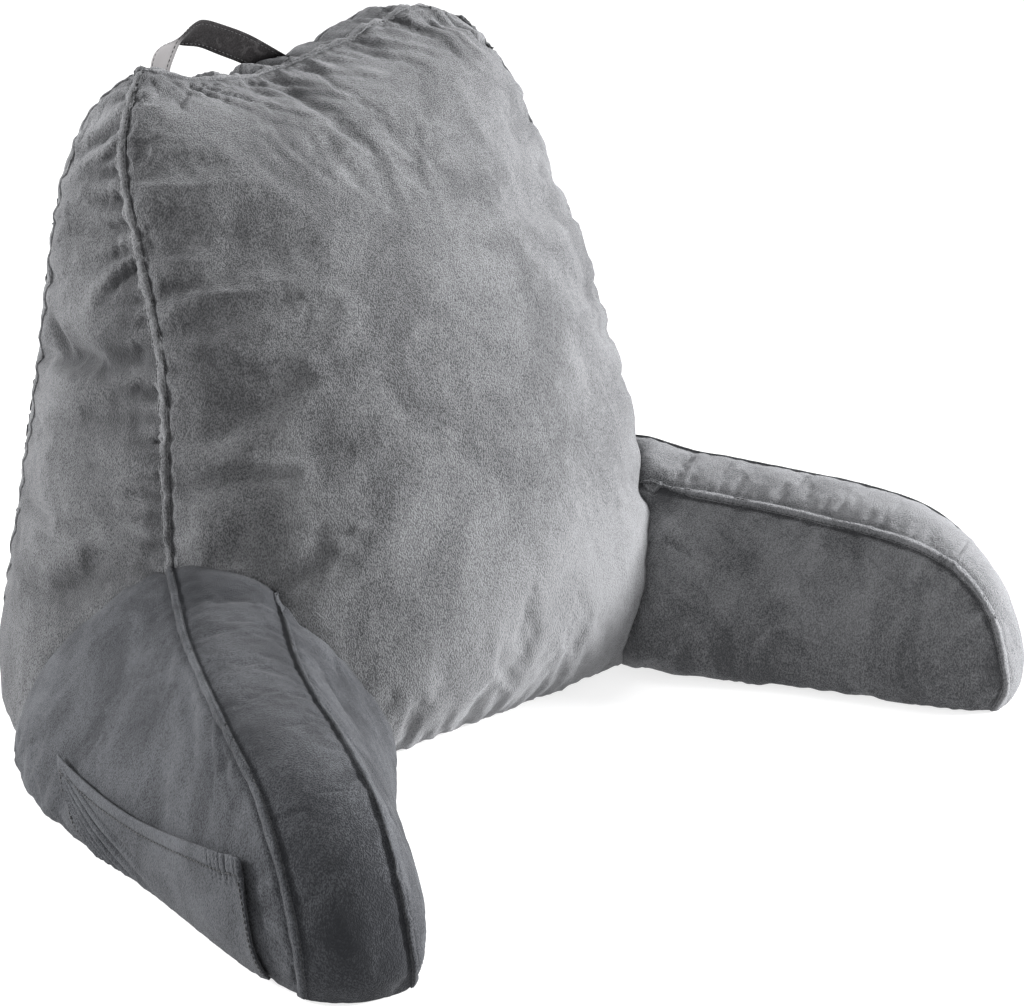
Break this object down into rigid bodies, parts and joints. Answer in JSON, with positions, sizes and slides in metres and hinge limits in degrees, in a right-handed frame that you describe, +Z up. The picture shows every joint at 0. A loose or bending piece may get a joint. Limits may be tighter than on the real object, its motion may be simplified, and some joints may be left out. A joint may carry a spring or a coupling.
{
  "type": "backrest pillow",
  "caption": "Freestanding plush reading pillow: a wedge-shaped filled back with filled armrests, a strap handle on top and a patch pocket on one arm.",
  "frame": {"origin": "on the surface the pillow stands on, under the centre of its box", "axes": "+X across, towards the arm without the pocket; -Y the way a sitter faces and the arms reach; +Z up"},
  "size_m": [0.7356, 0.607, 0.519],
  "materials": {
    "plush": "charcoal grey short brushed pile",
    "strap": "doubled grey plush with topstitched edges"
  },
  "bodies": {
    "root": {"backrest": "plush", "arm_left": "plush", "arm_right": "plush", "pocket": "plush", "handle": "strap"}
  },
  "joints": []
}
